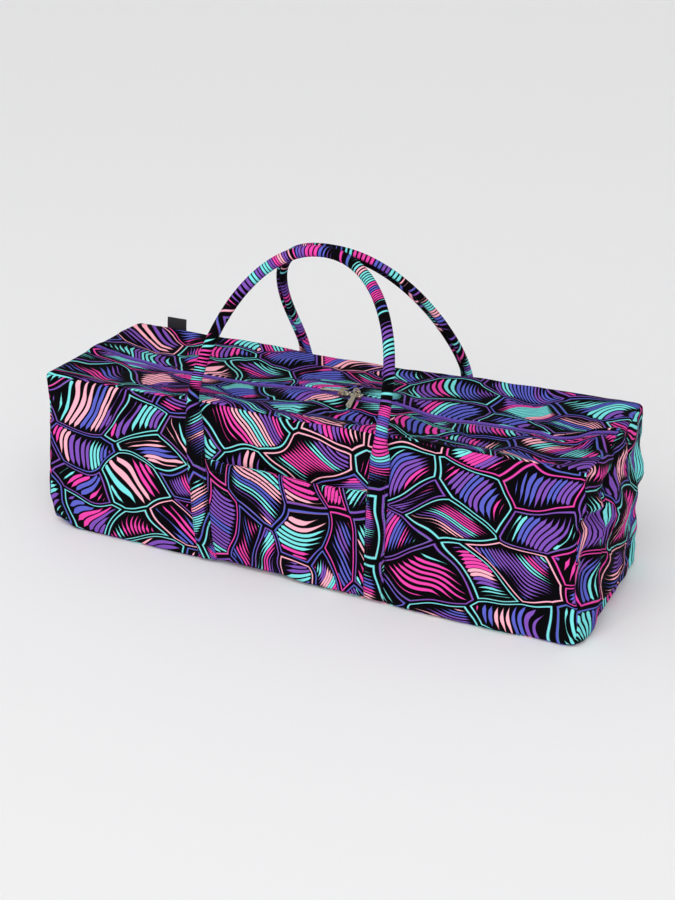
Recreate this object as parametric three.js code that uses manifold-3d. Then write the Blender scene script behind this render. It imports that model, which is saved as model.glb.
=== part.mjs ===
// A soft holdall for a rolled mat and its kit: a long zipped box of printed cotton canvas with two rolled
// handles, a patch pocket between the front straps and a plain tab in the back top seam.
// Millimetres, +Z up, +X along the bag, the front at -Y, the origin under the middle of the base.

import * as THREE from "three";
import { mergeVertices } from "three/addons/utils/BufferGeometryUtils.js";
import Module from "manifold-3d";

const wasm = await Module();
wasm.setup();

// Driving sizes of the bag, which leans in to its top and stands a little lower on the left
const BAG = {
  baseLength: 660,
  topLength: 650,
  baseDepth: 227,
  topDepth: 201,
  leftHeight: 190,
  rightHeight: 197,
};

// Canvas wall with its backing, and the clearance between two sewn pieces
const WALL = 2;
const SEAM_GAP = 0.3;

// Facets along the bag, through it and up it, the same on both sides of a seam, and those of narrow pieces
const FACETS = { along: 24, through: 12, up: 12, strip: 6, coil: 4, tabAcross: 4, tabUp: 3 };

// Panels: a strip of the top fills only part of the top face, before or behind the zip
const PANELS = [
  { name: "front_panel", face: "front", columns: FACETS.along, rows: FACETS.up },
  { name: "back_panel", face: "back", columns: FACETS.along, rows: FACETS.up },
  { name: "left_end_panel", face: "left", columns: FACETS.through, rows: FACETS.up },
  { name: "right_end_panel", face: "right", columns: FACETS.through, rows: FACETS.up },
  { name: "base_panel", face: "base", columns: FACETS.along, rows: FACETS.through },
  { name: "top_front_panel", face: "top", strip: -1, columns: FACETS.along, rows: FACETS.strip },
  { name: "top_back_panel", face: "top", strip: 1, columns: FACETS.along, rows: FACETS.strip },
];

// Faces of the bag: the directions that run across, up and out of each one, how far it swells out at its
// middle, and the share by which it is fuller below
const FACES = {
  front: { across: [1, 0, 0], up: [0, 0, 1], out: [0, -1, 0], swell: 6, belly: 0.3 },
  back: { across: [-1, 0, 0], up: [0, 0, 1], out: [0, 1, 0], swell: 6, belly: 0.3 },
  left: { across: [0, -1, 0], up: [0, 0, 1], out: [-1, 0, 0], swell: 8, belly: 0.2 },
  right: { across: [0, 1, 0], up: [0, 0, 1], out: [1, 0, 0], swell: 6, belly: 0.2 },
  base: { across: [1, 0, 0], up: [0, -1, 0], out: [0, 0, -1], swell: 0, belly: 0 },
  top: { across: [1, 0, 0], up: [0, 1, 0], out: [0, 0, 1], swell: -5.5, belly: 0 },
};

// Folds, dents and soft corners: a crease runs from one point to another, and pushes the cloth within
// its reach by the stated distance
const FOLDS = [
  { what: "dip before the sliders", from: [24, -38, 190], to: [54, -38, 190], reach: 40, push: [0, 0, -12] },
  { what: "slack of top, left", from: [-230, -52, 190], to: [-110, -46, 190], reach: 34, push: [0, 0, -4] },
  { what: "slack of top, right", from: [120, -50, 192], to: [250, -44, 194], reach: 34, push: [0, 0, -4] },
  { what: "slack of back strip", from: [-160, 52, 190], to: [130, 50, 192], reach: 36, push: [0, 0, -3] },
  { what: "crease by front edge", from: [328, -92, 62], to: [328, -90, 132], reach: 26, push: [-10, 0, 0] },
  { what: "hollow over the crease", from: [328, -58, 140], to: [328, -50, 146], reach: 34, push: [-8, 0, 0] },
  { what: "fold under the top edge", from: [328, -30, 156], to: [328, 84, 146], reach: 26, push: [-6, 0, 0] },
  { what: "ridge under the fold", from: [330, -24, 118], to: [330, 84, 112], reach: 30, push: [5, 0, 0] },
  { what: "bulge of the back edge", from: [329, 104, 118], to: [329, 106, 124], reach: 30, push: [2, 1, 0] },
  { what: "dent of the back edge", from: [329, 104, 66], to: [329, 104, 84], reach: 30, push: [-4, -1, 0] },
  { what: "base edge that bows out", from: [330, -62, 0], to: [330, 62, 0], reach: 62, push: [5, 0, 0] },
  { what: "back edge that sags", from: [-70, 100, 193], to: [100, 100, 194], reach: 56, push: [0, 0, -3] },
  { what: "slack of the left end", from: [-330, -60, 150], to: [-330, 50, 158], reach: 30, push: [2, 0, 0] },
  { what: "soft corner, left front", from: [-330, -114, 0], to: [-330, -114, 6], reach: 40, push: [8, 4, 9] },
  { what: "soft corner, left back", from: [-330, 114, 0], to: [-330, 114, 6], reach: 36, push: [6, -4, 7] },
  { what: "soft corner, right front", from: [330, -114, 0], to: [330, -114, 2], reach: 18, push: [-2, 2, 2] },
  { what: "soft corner, right back", from: [330, 114, 0], to: [330, 114, 2], reach: 18, push: [-2, -2, 2] },
];

// Handles: a flat strap up from the base seam, a rolled tube that arches over, and the strap down again.
// Each arch is a squared oval that leans over to the zip; shift slides its crown along the bag.
const HANDLES = [
  {
    name: "front_handle",
    side: -1,
    foot: { centre: -4.5, half: 104.5 },
    arch: { centre: -14, half: 115, shift: 0, crown: 355, squareness: 2.1 },
  },
  {
    name: "back_handle",
    side: 1,
    foot: { centre: 12, half: 104 },
    arch: { centre: 10, half: 105, shift: -27, crown: 352, squareness: 2.35 },
  },
];
const STRAP = { width: 24, thickness: 3, edgeRound: 0.45, foot: 5, rollStart: 148, rollEnd: 184 };
const TUBE = { diameter: 12.5, sides: 12, spring: 200, crownGap: 8 };
const STRAP_STEPS = 9;
const ARCH_STEPS = 28;

// Patch pocket between the front straps, open at the top, where it stands off the panel
const POCKET = { foot: 5, top: 131, gape: 9, columns: 16, rows: 9 };

// Zip: the gap between the strips of the top, the tapes under their hems and the closed coil
const ZIP = { gap: 14, tapeWidth: 5.4, tapeThickness: 0.8, coilWidth: 5.2, coilHeight: 2.6, coilArch: 0.35 };

// Sliders, nose to nose, each a channel over the coil with a bail along the zip
const SLIDER = { length: 14, noseWidth: 10.6, noseCorner: 2, tailWidth: 8.6, plate: 1.5, centres: [8, 23] };
const BAIL = { length: 9.6, leg: 1, bar: 1.2, width: 2, rise: 3.9, root: 0.2 };

// Pulls: a ring round the bail and a tab with a small hole at its tip
const PULL = { length: 31, ring: 4.1, eye: 2.9, neck: 3.4, tip: 3.2, tipHole: 1.1, thickness: 1.4 };
const PULL_REST = { leftDip: 4.5, leftSink: 0.4, rightDip: 24, rightTwist: 40 };

// Tab of black tape in the back top seam
const LABEL = { left: -285, width: 27, height: 13, thickness: 1.2, setBack: 0.5, lean: 1.5 };

const COLOURS = {
  print: 0x5a3f94,
  pocketPrint: 0x6a47a0,
  zipPurple: 0x6b3fa0,
  metal: 0xcfc8b8,
  black: 0x111014,
};

const bag = new THREE.Group();

function clothMaterial(colour) {
  return new THREE.MeshStandardMaterial({ color: colour, roughness: 0.85, metalness: 0 });
}

function metalMaterial() {
  return new THREE.MeshStandardMaterial({ color: COLOURS.metal, roughness: 0.3, metalness: 1 });
}

function addPiece(name, geometry, material) {
  const mesh = new THREE.Mesh(geometry, material);
  mesh.name = name;
  bag.add(mesh);
  return mesh;
}

// Keeps only positions, with shared corners merged
function plainMesh(geometry) {
  geometry.deleteAttribute("normal");
  geometry.deleteAttribute("uv");
  const merged = mergeVertices(geometry);
  merged.computeVertexNormals();
  return merged;
}

// Moves every corner of a three.js shape to the place that a function gives for it
function shaped(geometry, place) {
  const positions = geometry.getAttribute("position");
  const corner = new THREE.Vector3();
  for (let i = 0; i < positions.count; i += 1) {
    corner.fromBufferAttribute(positions, i);
    const placed = place(corner);
    positions.setXYZ(i, placed.x, placed.y, placed.z);
  }
  return plainMesh(geometry);
}

// A wall as a flat slab of facets: across and up run from -1 to 1, and depth from 0 outside to 1 inside
function wall(columns, rows, place) {
  const slab = new THREE.BoxGeometry(2, 2, 1, columns, rows, 1);
  return shaped(slab, (corner) => place(corner.x, corner.y, 0.5 - corner.z));
}

const mix = THREE.MathUtils.lerp;

function bagHeight(x) {
  return mix(BAG.leftHeight, BAG.rightHeight, x / BAG.baseLength + 0.5);
}

function halfLength(rise) {
  return mix(BAG.baseLength, BAG.topLength, rise) / 2;
}

function halfDepth(rise) {
  return mix(BAG.baseDepth, BAG.topDepth, rise) / 2;
}

// Sum of the pushes of all folds that reach a point
function folded(point) {
  const moved = point.clone();
  const nearest = new THREE.Vector3();
  for (const fold of FOLDS) {
    const crease = new THREE.Line3(new THREE.Vector3(...fold.from), new THREE.Vector3(...fold.to));
    crease.closestPointToPoint(point, true, nearest);
    const away = nearest.distanceTo(point) / fold.reach;
    if (away < 1) {
      moved.addScaledVector(new THREE.Vector3(...fold.push), (1 - away ** 2) ** 2);
    }
  }
  return moved;
}

// How far a face swells out of its flat shape: nothing along its seams, and fuller below its middle
function swellOf(face, across, up) {
  return face.swell * (1 - across ** 6) * (1 - up ** 2) * (1 - face.belly * up);
}

// A point of a face of the bag: across and up from -1 to 1, depth inward from the outer skin and
// lift outward from it
function onFace(faceName, across, up, depth = 0, lift = 0) {
  const face = FACES[faceName];
  const out = new THREE.Vector3(...face.out);
  const unit = new THREE.Vector3(...face.across).multiplyScalar(across);
  unit.addScaledVector(new THREE.Vector3(...face.up), up).add(out);
  const rise = (unit.z + 1) / 2;
  const x = unit.x * (halfLength(rise) - depth);
  const y = unit.y * (halfDepth(rise) - depth);
  const height = bagHeight(x);
  const z = height / 2 + unit.z * (height / 2 - depth);
  const point = new THREE.Vector3(x, y, z).addScaledVector(out, swellOf(face, across, up) + lift);
  return folded(point);
}

// The same for a side of the bag, by real x and z, and for its top, by real x and y
function onSide(side, x, z, lift) {
  const rise = z / bagHeight(x);
  const across = (-side * x) / halfLength(rise);
  return onFace(side < 0 ? "front" : "back", across, 2 * rise - 1, 0, lift);
}

function onTop(x, y, lift) {
  return onFace("top", x / halfLength(1), y / halfDepth(1), 0, lift);
}

// Canvas panels, mitred to each other at half a right angle along the seams
function panelGeometry({ face, strip, columns, rows }) {
  const { across, up } = FACES[face];
  const halves = new THREE.Vector3(halfLength(1), halfDepth(1), BAG.leftHeight / 2);
  const trim = SEAM_GAP / Math.SQRT2;
  const trimAcross = trim / Math.abs(halves.dot(new THREE.Vector3(...across)));
  const trimUp = trim / Math.abs(halves.dot(new THREE.Vector3(...up)));
  let bottom = -1 + trimUp;
  let top = 1 - trimUp;
  const hem = ZIP.gap / 2 / halfDepth(1);
  if (strip === -1) top = -hem;
  if (strip === 1) bottom = hem;
  return wall(columns, rows, (u, v, depth) =>
    onFace(face, u * (1 - trimAcross), mix(bottom, top, (v + 1) / 2), depth * WALL),
  );
}

for (const panel of PANELS) {
  addPiece(panel.name, panelGeometry(panel), clothMaterial(COLOURS.print));
}

// Where a strap or an arch leg stands along the bag at a height: end is -1 at the left and 1 at the right
function legX({ foot, arch }, end, z) {
  const low = foot.centre + end * foot.half;
  const spring = arch.centre + end * arch.half;
  return mix(low, spring, Math.min(1, z / TUBE.spring));
}

// How far a handle's middle stands off its panel: flat on it, then rolled up to a tube
function rollShare(z) {
  return THREE.MathUtils.smoothstep(z, STRAP.rollStart, STRAP.rollEnd);
}

function legPoint(handle, end, z) {
  const standoff = SEAM_GAP + mix(STRAP.thickness, TUBE.diameter, rollShare(z)) / 2;
  const x = legX(handle, end, z);
  const onPanel = onSide(handle.side, x, Math.min(z, bagHeight(x) - WALL), standoff);
  return new THREE.Vector3(x, onPanel.y, z);
}

// The arch over the bag: share runs from 0 at the left spring to 1 at the right one
function archPoint(handle, share) {
  const { centre, half, shift, crown, squareness } = handle.arch;
  const turn = Math.PI * (1 - share);
  const power = 2 / squareness;
  const climb = Math.abs(Math.sin(turn)) ** power;
  const reach = Math.sign(Math.cos(turn)) * Math.abs(Math.cos(turn)) ** power;
  const rootY = Math.abs(legPoint(handle, -1, TUBE.spring).y);
  return new THREE.Vector3(
    centre + shift * climb + reach * half,
    handle.side * mix(rootY, TUBE.crownGap, climb),
    mix(TUBE.spring, crown, climb),
  );
}

function handlePath(handle) {
  const left = [];
  const right = [];
  for (let i = 0; i < STRAP_STEPS; i += 1) {
    const z = mix(STRAP.foot, TUBE.spring, i / STRAP_STEPS);
    left.push(legPoint(handle, -1, z));
    right.unshift(legPoint(handle, 1, z));
  }
  const arch = [];
  for (let i = 0; i <= ARCH_STEPS; i += 1) {
    arch.push(archPoint(handle, i / ARCH_STEPS));
  }
  return [...left, ...arch, ...right];
}

// A strap's section is a flat oblong, a tube's a circle, with a blend between them
function handleGeometry(handle) {
  const path = handlePath(handle);
  const steps = path.length - 1;
  const tube = new THREE.CylinderGeometry(1, 1, steps, TUBE.sides, steps);
  return shaped(tube, (corner) => {
    const index = Math.round(corner.y + steps / 2);
    const centre = path[index];
    const before = path[Math.max(0, index - 1)];
    const after = path[Math.min(steps, index + 1)];
    const along = after.clone().sub(before).normalize();
    const outward = new THREE.Vector3(0, handle.side, 0);
    outward.addScaledVector(along, -outward.dot(along)).normalize();
    const sideways = along.clone().cross(outward).normalize();
    const roll = rollShare(centre.z);
    const round = mix(STRAP.edgeRound, 1, roll);
    const width = mix(STRAP.width, TUBE.diameter, roll) / 2;
    const thickness = mix(STRAP.thickness, TUBE.diameter, roll) / 2;
    const radius = Math.hypot(corner.x, corner.z);
    const angle = Math.atan2(corner.x, corner.z) + Math.PI / TUBE.sides;
    const bend = (value) => radius * Math.sign(value) * Math.abs(value) ** round;
    return centre
      .clone()
      .addScaledVector(outward, bend(Math.cos(angle)) * thickness)
      .addScaledVector(sideways, bend(Math.sin(angle)) * width);
  });
}

for (const handle of HANDLES) {
  addPiece(handle.name, handleGeometry(handle), clothMaterial(COLOURS.print));
}

// Patch pocket: sewn down along the base seam and under the straps, slack at its mouth
function pocketGeometry() {
  const front = HANDLES[0];
  const inset = STRAP.width / 2 + SEAM_GAP;
  return wall(POCKET.columns, POCKET.rows, (u, v, depth) => {
    const climb = (v + 1) / 2;
    const z = mix(POCKET.foot, POCKET.top, climb);
    const x = mix(legX(front, -1, z) + inset, legX(front, 1, z) - inset, (u + 1) / 2);
    const slack = POCKET.gape * (1 - u ** 4) * climb ** 2;
    return onSide(-1, x, z, SEAM_GAP + slack + (1 - depth) * WALL);
  });
}

addPiece("front_pocket", pocketGeometry(), clothMaterial(COLOURS.pocketPrint));

// Zip tapes under the hems, and the coil between them
const ZIP_HALF_LENGTH = halfLength(1) - WALL - SEAM_GAP;
const TAPE_TOP = WALL + 2 * SEAM_GAP;

function tapeGeometry(side) {
  const inner = ZIP.coilWidth / 2 + SEAM_GAP;
  return wall(FACETS.along, 1, (u, v, depth) => {
    const y = side * inner + ((side + v) * ZIP.tapeWidth) / 2;
    return onTop(u * ZIP_HALF_LENGTH, y, -TAPE_TOP - depth * ZIP.tapeThickness);
  });
}

function coilGeometry() {
  return wall(FACETS.along, FACETS.coil, (u, v, depth) => {
    const crown = ZIP.coilHeight * (1 - ZIP.coilArch * v ** 2);
    const floor = TAPE_TOP + ZIP.tapeThickness;
    return onTop(u * ZIP_HALF_LENGTH, (v * ZIP.coilWidth) / 2, mix(crown, 0, depth) - floor);
  });
}

addPiece("zip_tape_front", tapeGeometry(-1), clothMaterial(COLOURS.zipPurple));
addPiece("zip_tape_back", tapeGeometry(1), clothMaterial(COLOURS.zipPurple));
addPiece("zip_coil", coilGeometry(), clothMaterial(COLOURS.zipPurple));

// Joins and cuts for the small castings
function solidOf(geometry) {
  const mesh = plainMesh(geometry);
  const vertProperties = new Float32Array(mesh.getAttribute("position").array);
  const triVerts = new Uint32Array(mesh.getIndex().array);
  return new wasm.Manifold(new wasm.Mesh({ numProp: 3, vertProperties, triVerts }));
}

function geometryOf(solid) {
  const mesh = solid.getMesh();
  const geometry = new THREE.BufferGeometry();
  geometry.setAttribute("position", new THREE.BufferAttribute(mesh.vertProperties, 3));
  geometry.setIndex(new THREE.BufferAttribute(mesh.triVerts, 1));
  geometry.computeVertexNormals();
  return geometry;
}

const CASTING = { bevelEnabled: false, curveSegments: 6 };
const STAMPING = { bevelEnabled: false, curveSegments: 14, depth: PULL.thickness };

// A slider about its own middle, on the level of the tape under it: nose is 1 or -1 along X
const CHANNEL_HEIGHT = ZIP.coilHeight - ZIP.tapeThickness + SEAM_GAP;
const SLIDER_TOP = CHANNEL_HEIGHT + SLIDER.plate;

function sliderGeometry(nose) {
  const tip = (nose * SLIDER.length) / 2;
  const corner = nose * SLIDER.noseCorner;
  const outline = new THREE.Shape();
  outline.moveTo(-tip, -SLIDER.tailWidth / 2);
  outline.lineTo(tip - corner, -SLIDER.noseWidth / 2);
  outline.quadraticCurveTo(tip, -SLIDER.noseWidth / 2, tip, 0);
  outline.quadraticCurveTo(tip, SLIDER.noseWidth / 2, tip - corner, SLIDER.noseWidth / 2);
  outline.lineTo(-tip, SLIDER.tailWidth / 2);
  outline.closePath();
  const block = new THREE.ExtrudeGeometry(outline, { ...CASTING, depth: SLIDER_TOP });
  const channelWidth = ZIP.coilWidth + 2 * SEAM_GAP;
  const channel = new THREE.BoxGeometry(2 * SLIDER.length, channelWidth, 2 * CHANNEL_HEIGHT);
  const side = new THREE.Shape();
  const half = BAIL.length / 2;
  const crown = BAIL.rise + BAIL.bar;
  side.moveTo(-half, -BAIL.root);
  side.lineTo(half, -BAIL.root);
  side.lineTo(half, crown - BAIL.leg);
  side.quadraticCurveTo(half, crown, half - BAIL.leg, crown);
  side.lineTo(BAIL.leg - half, crown);
  side.quadraticCurveTo(-half, crown, -half, crown - BAIL.leg);
  side.closePath();
  const arch = new THREE.ExtrudeGeometry(side, { ...CASTING, depth: BAIL.width });
  arch.translate(0, 0, -BAIL.width / 2).rotateX(Math.PI / 2).translate(0, 0, SLIDER_TOP);
  const openingLength = BAIL.length - 2 * BAIL.leg;
  const opening = new THREE.BoxGeometry(openingLength, 2 * BAIL.width, BAIL.rise);
  opening.translate(0, 0, SLIDER_TOP + BAIL.rise / 2);
  const body = solidOf(block).subtract(solidOf(channel));
  return geometryOf(body.add(solidOf(arch).subtract(solidOf(opening))));
}

// A pull lies along -X from the middle of its eye, flat, and its eye is the ring round the bail
function pullGeometry() {
  const outline = new THREE.Shape();
  const tipX = PULL.tip - PULL.length + PULL.ring;
  const open = Math.asin(PULL.neck / 2 / PULL.ring);
  outline.absarc(0, 0, PULL.ring, open - Math.PI, Math.PI - open, false);
  outline.lineTo(tipX, PULL.tip);
  outline.absarc(tipX, 0, PULL.tip, Math.PI / 2, (3 * Math.PI) / 2, false);
  outline.closePath();
  const eye = new THREE.Path();
  eye.absarc(0, 0, PULL.eye, 0, 2 * Math.PI, true);
  const hole = new THREE.Path();
  hole.absarc(tipX, 0, PULL.tipHole, 0, 2 * Math.PI, true);
  outline.holes.push(eye, hole);
  const plate = new THREE.ExtrudeGeometry(outline, STAMPING);
  return plainMesh(plate.translate(0, 0, -PULL.thickness / 2));
}

// The sliders stand level on the higher of the two tapes, at the middle of the sagging zip
function tapeLevel(x) {
  const flange = SLIDER.noseWidth / 2;
  return Math.max(onTop(x, -flange, -TAPE_TOP).z, onTop(x, flange, -TAPE_TOP).z);
}

const radians = THREE.MathUtils.degToRad;
const [leftX, rightX] = SLIDER.centres;
const SLIDER_LEVEL = Math.max(tapeLevel(leftX), tapeLevel(rightX)) + SEAM_GAP;
const leftSlider = addPiece("zip_slider_left", sliderGeometry(1), metalMaterial());
leftSlider.position.set(leftX, 0, SLIDER_LEVEL);
const rightSlider = addPiece("zip_slider_right", sliderGeometry(-1), metalMaterial());
rightSlider.position.set(rightX, 0, SLIDER_LEVEL);

// The left pull lies along the zip, with the end of its ring through the bail
const leftPull = addPiece("zip_pull_left", pullGeometry(), metalMaterial());
const crossbar = (PULL.ring + PULL.eye) / 2;
leftPull.geometry.translate(-crossbar, 0, 0);
leftPull.rotation.y = radians(-PULL_REST.leftDip);
leftPull.position.set(leftX, 0, SLIDER_LEVEL + SLIDER_TOP + BAIL.rise / 2 - PULL_REST.leftSink);

// The right pull hangs forward from the bail's bar into the dip, turned a little on its own length
const rightPull = addPiece("zip_pull_right", pullGeometry(), metalMaterial());
rightPull.rotation.order = "ZYX";
rightPull.rotation.set(radians(90 - PULL_REST.rightTwist), radians(-PULL_REST.rightDip), radians(90));
rightPull.position.set(rightX, 0, SLIDER_LEVEL + SLIDER_TOP + BAIL.rise + BAIL.bar / 2);

// Tab of black tape that stands up out of the back top seam
function labelGeometry() {
  return wall(FACETS.tabAcross, FACETS.tabUp, (u, v, depth) => {
    const climb = (v + 1) / 2;
    const x = LABEL.left + ((u + 1) / 2) * LABEL.width;
    const seam = onFace("top", x / halfLength(1), 1);
    const bend = LABEL.lean * climb ** 2;
    const y = seam.y - LABEL.setBack - (1 - depth) * LABEL.thickness + bend;
    return new THREE.Vector3(x, y, seam.z + SEAM_GAP + climb * LABEL.height);
  });
}

addPiece("label_tab", labelGeometry(), clothMaterial(COLOURS.black));

export default bag;
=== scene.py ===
"""Looks of a soft yoga kit bag: printed canvas panels that sag, rolled handles, a patch pocket and a zip.

Metres, +Z up, +X along the bag, the front at -Y, the origin under the middle of the base, as in the frame.
"""

import math
from collections import namedtuple
from functools import partial

import bmesh
import bpy
from mathutils import Matrix, Vector, noise


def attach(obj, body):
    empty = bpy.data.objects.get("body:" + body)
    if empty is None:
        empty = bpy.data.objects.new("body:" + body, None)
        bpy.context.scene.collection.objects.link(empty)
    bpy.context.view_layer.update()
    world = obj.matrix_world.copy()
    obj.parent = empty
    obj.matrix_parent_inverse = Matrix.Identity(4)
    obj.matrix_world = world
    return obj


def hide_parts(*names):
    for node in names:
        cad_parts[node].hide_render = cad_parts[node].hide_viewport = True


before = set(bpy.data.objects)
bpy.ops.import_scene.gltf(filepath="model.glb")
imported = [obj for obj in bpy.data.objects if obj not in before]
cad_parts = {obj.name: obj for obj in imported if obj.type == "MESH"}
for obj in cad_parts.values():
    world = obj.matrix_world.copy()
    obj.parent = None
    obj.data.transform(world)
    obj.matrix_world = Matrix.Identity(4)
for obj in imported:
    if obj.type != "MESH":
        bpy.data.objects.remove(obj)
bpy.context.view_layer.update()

MM = 0.001
X, Y, Z = Vector((1, 0, 0)), Vector((0, 1, 0)), Vector((0, 0, 1))

# Driving sizes of the bag, which leans in to its top and stands a little lower on the left
BASE_LENGTH, TOP_LENGTH = 0.660, 0.650
BASE_DEPTH, TOP_DEPTH = 0.227, 0.201
LEFT_HEIGHT, RIGHT_HEIGHT = 0.190, 0.197
WALL = 0.002
SEAM_GAP = 0.0003

# Zip: the gap between the strips of the top, the tapes under their hems, the closed coil, how the zip rises
# between its sliders and its ends and takes the hems with it, and how far the hems close up
ZIP_GAP = 0.014
TAPE_WIDTH, TAPE_THICKNESS = 0.0054, 0.0008
COIL_WIDTH, COIL_HEIGHT = 0.0052, 0.0026
TAPE_TOP = WALL + 2 * SEAM_GAP
ZIP_HALF_LENGTH = TOP_LENGTH / 2 - WALL - SEAM_GAP
TOOTH_PITCH = 0.0016
SLIDERS_X, ZIP_RISE = 0.0155, 0.0022
FLAT_BY_SLIDERS, FLAT_BY_ENDS, RISE_REACH = 0.035, 0.010, 0.050
HEM_RISE_SHARE, HEM_RISE_REACH = 0.4, 0.014
HEM_CLOSED, SLIDER_ROOM, HEM_CLOSING = 0.0056, 0.022, 0.035

# Handles: a flat strap up from the base seam, which curls to a tube, arches over, and comes down again
Handle = namedtuple("Handle", "side foot_centre foot_half arch_centre arch_half shift crown squareness")
HANDLES = {
    "front_handle": Handle(-1, -0.0045, 0.1045, -0.014, 0.115, 0.0, 0.355, 2.1),
    "back_handle": Handle(1, 0.012, 0.104, 0.010, 0.105, -0.027, 0.352, 2.35),
}
STRAP_WIDTH, STRAP_THICKNESS, STRAP_FOOT = 0.024, 0.003, 0.005
ROLL_START, ROLL_END, SOFT_FROM = 0.150, 0.206, 0.184
TUBE_DIAMETER, TUBE_WALL, TUBE_SPRING, CROWN_GAP = 0.0125, 0.0034, 0.200, 0.008
TUBE_CURL = 0.985 * 2 * math.pi

# Patch pocket between the front straps, whose mouth is hemmed and stands off the panel
POCKET_FOOT, POCKET_TOP, POCKET_GAPE = 0.005, 0.131, 0.009
HEM_DEPTH = 0.016

# Tab of black tape in the back top seam
LABEL_LEFT, LABEL_WIDTH, LABEL_HEIGHT, LABEL_LEAN = -0.285, 0.027, 0.013, 0.0015

# Stitches: their pitch, length and thickness, drawn a little coarser than real thread so that they show
STITCH_PITCH, STITCH_LENGTH, STITCH_THICKNESS = 0.0038, 0.0027, 0.0007

# Faces of the bag: the directions across, up and out, the swell at its middle, the share by which it is
# fuller below, the height of its loose ripples and the depth of its creases
Face = namedtuple("Face", "across up out swell belly ripple crease")
FACES = {
    "front": Face(X, Z, -Y, 0.006, 0.3, 0.0020, 0.0011),
    "back": Face(-X, Z, Y, 0.006, 0.3, 0.0019, 0.0011),
    "left": Face(-Y, Z, -X, 0.008, 0.2, 0.0028, 0.0020),
    "right": Face(Y, Z, X, 0.006, 0.2, 0.0042, 0.0044),
    "base": Face(X, -Y, -Z, 0.0, 0.0, 0.0, 0.0),
    "top": Face(X, Y, Z, -0.0055, 0.0, 0.0040, 0.0028),
}

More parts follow.
